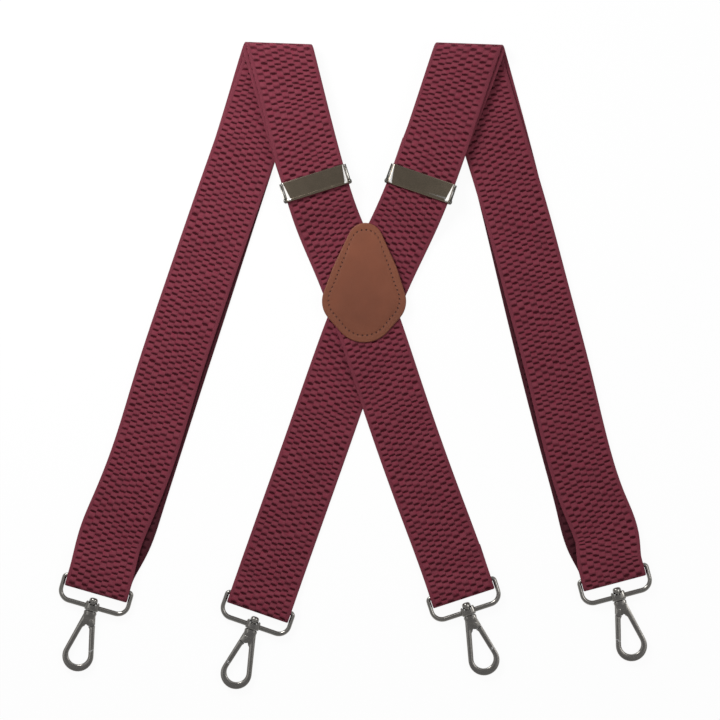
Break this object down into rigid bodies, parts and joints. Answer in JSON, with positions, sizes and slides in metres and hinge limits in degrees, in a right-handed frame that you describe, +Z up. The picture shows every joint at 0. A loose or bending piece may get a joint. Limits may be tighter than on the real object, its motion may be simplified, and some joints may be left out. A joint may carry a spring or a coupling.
{
  "type": "x-back trouser braces",
  "caption": "Wide elastic X-back trouser braces with a leather cross patch, flip-lever adjusters and swivel snap hooks on the ends.",
  "frame": {"origin": "middle of the outline on the surface that the braces lie on", "axes": "+Z up off the surface, +Y towards the shoulder folds, +X to the right as seen from above"},
  "size_m": [0.461, 0.5028, 0.0143],
  "materials": {
    "elastic_webbing": "woven, matt",
    "leather": "smooth, satin",
    "clip_metal": "dark nickel, satin",
    "adjuster_metal": "dark nickel, satin",
    "spring_steel": "plain"
  },
  "bodies": {
    "harness": {"left_webbing": "elastic_webbing", "right_webbing": "elastic_webbing", "patch_leather": "leather", "patch_backing": "leather"},
    "left_adjuster": {"left_adjuster_frame": "adjuster_metal", "left_lever_pin": "adjuster_metal", "left_webbing_tail": "elastic_webbing"},
    "left_lever": {"left_adjuster_lever": "adjuster_metal"},
    "left_front_ring": {"left_front_ring": "clip_metal"},
    "left_front_hook": {"left_front_hook": "clip_metal", "left_front_swivel_rivet": "clip_metal", "left_front_gate_pin": "clip_metal", "left_front_gate_spring": "spring_steel"},
    "left_front_gate": {"left_front_gate": "clip_metal"},
    "left_back_ring": {"left_back_ring": "clip_metal"},
    "left_back_hook": {"left_back_hook": "clip_metal", "left_back_swivel_rivet": "clip_metal", "left_back_gate_pin": "clip_metal", "left_back_gate_spring": "spring_steel"},
    "left_back_gate": {"left_back_gate": "clip_metal"},
    "right_adjuster": {"right_adjuster_frame": "adjuster_metal", "right_lever_pin": "adjuster_metal", "right_webbing_tail": "elastic_webbing"},
    "right_lever": {"right_adjuster_lever": "adjuster_metal"},
    "right_front_ring": {"right_front_ring": "clip_metal"},
    "right_front_hook": {"right_front_hook": "clip_metal", "right_front_swivel_rivet": "clip_metal", "right_front_gate_pin": "clip_metal", "right_front_gate_spring": "spring_steel"},
    "right_front_gate": {"right_front_gate": "clip_metal"},
    "right_back_ring": {"right_back_ring": "clip_metal"},
    "right_back_hook": {"right_back_hook": "clip_metal", "right_back_swivel_rivet": "clip_metal", "right_back_gate_pin": "clip_metal", "right_back_gate_spring": "spring_steel"},
    "right_back_gate": {"right_back_gate": "clip_metal"}
  },
  "joints": [
    {"name": "left_adjuster_slide", "type": "slide", "parent": "harness", "child": "left_adjuster", "axis": [-0.2504, 0.9681, 0], "range_m": [0, 0.07], "deforming": ["left_webbing_tail"]},
    {"name": "left_lever_hinge", "type": "hinge", "parent": "left_adjuster", "child": "left_lever", "pos_m": [-0.02916, 0.13517, 0.0126], "axis": [0.9542, 0.299, 0], "range_deg": [0, 115]},
    {"name": "left_front_ring_swing", "type": "hinge", "parent": "harness", "child": "left_front_ring", "pos_m": [-0.19954, -0.16939, 0.0038], "axis": [0.9613, -0.2756, 0], "range_deg": [-110, 110]},
    {"name": "left_front_hook_swivel", "type": "hinge", "parent": "left_front_ring", "child": "left_front_hook", "pos_m": [-0.20351, -0.18323, 0.00347], "axis": [0.2756, 0.961, 0.0227], "continuous": true},
    {"name": "left_front_gate_hinge", "type": "hinge", "parent": "left_front_hook", "child": "left_front_gate", "pos_m": [-0.20544, -0.19796, 0.00314], "axis": [0.0062, 0.0218, -0.9997], "range_deg": [0, 26], "stiffness_Nm_per_rad": 0.002, "springref_deg": -17.19, "deforming": ["left_front_gate_spring"]},
    {"name": "left_back_ring_swing", "type": "hinge", "parent": "harness", "child": "left_back_ring", "pos_m": [0.08186, -0.17309, 0.0038], "axis": [0.9511, 0.309, 0], "range_deg": [-110, 110]},
    {"name": "left_back_hook_swivel", "type": "hinge", "parent": "left_back_ring", "child": "left_back_hook", "pos_m": [0.08631, -0.18678, 0.00347], "axis": [-0.3089, 0.9508, 0.0227], "continuous": true},
    {"name": "left_back_gate_hinge", "type": "hinge", "parent": "left_back_hook", "child": "left_back_gate", "pos_m": [0.09294, -0.20008, 0.00314], "axis": [-0.007, 0.0216, -0.9997], "range_deg": [0, 26], "stiffness_Nm_per_rad": 0.002, "springref_deg": -17.19, "deforming": ["left_back_gate_spring"]},
    {"name": "right_adjuster_slide", "type": "slide", "parent": "harness", "child": "right_adjuster", "axis": [0.3289, 0.9444, 0], "range_m": [0, 0.07], "deforming": ["right_webbing_tail"]},
    {"name": "right_lever_hinge", "type": "hinge", "parent": "right_adjuster", "child": "right_lever", "pos_m": [0.04875, 0.13501, 0.0126], "axis": [0.9461, -0.3239, 0], "range_deg": [0, 115]},
    {"name": "right_front_ring_swing", "type": "hinge", "parent": "harness", "child": "right_front_ring", "pos_m": [0.19966, -0.16119, 0.0038], "axis": [0.9668, 0.2554, 0], "range_deg": [-110, 110]},
    {"name": "right_front_hook_swivel", "type": "hinge", "parent": "right_front_ring", "child": "right_front_hook", "pos_m": [0.20334, -0.17511, 0.00347], "axis": [-0.2554, 0.9666, 0.0227], "continuous": true},
    {"name": "right_front_gate_hinge", "type": "hinge", "parent": "right_front_hook", "child": "right_front_gate", "pos_m": [0.20497, -0.18988, 0.00314], "axis": [0.0058, -0.0219, 0.9997], "range_deg": [0, 26], "stiffness_Nm_per_rad": 0.002, "springref_deg": -17.19, "deforming": ["right_front_gate_spring"]},
    {"name": "right_back_ring_swing", "type": "hinge", "parent": "harness", "child": "right_back_ring", "pos_m": [-0.07354, -0.18409, 0.0038], "axis": [0.9449, -0.3272, 0], "range_deg": [-110, 110]},
    {"name": "right_back_hook_swivel", "type": "hinge", "parent": "right_back_ring", "child": "right_back_hook", "pos_m": [-0.07825, -0.19769, 0.00347], "axis": [0.3271, 0.9447, 0.0227], "continuous": true},
    {"name": "right_back_gate_hinge", "type": "hinge", "parent": "right_back_hook", "child": "right_back_gate", "pos_m": [-0.08514, -0.21086, 0.00314], "axis": [-0.0074, -0.0214, 0.9997], "range_deg": [0, 26], "stiffness_Nm_per_rad": 0.002, "springref_deg": -17.19, "deforming": ["right_back_gate_spring"]}
  ]
}
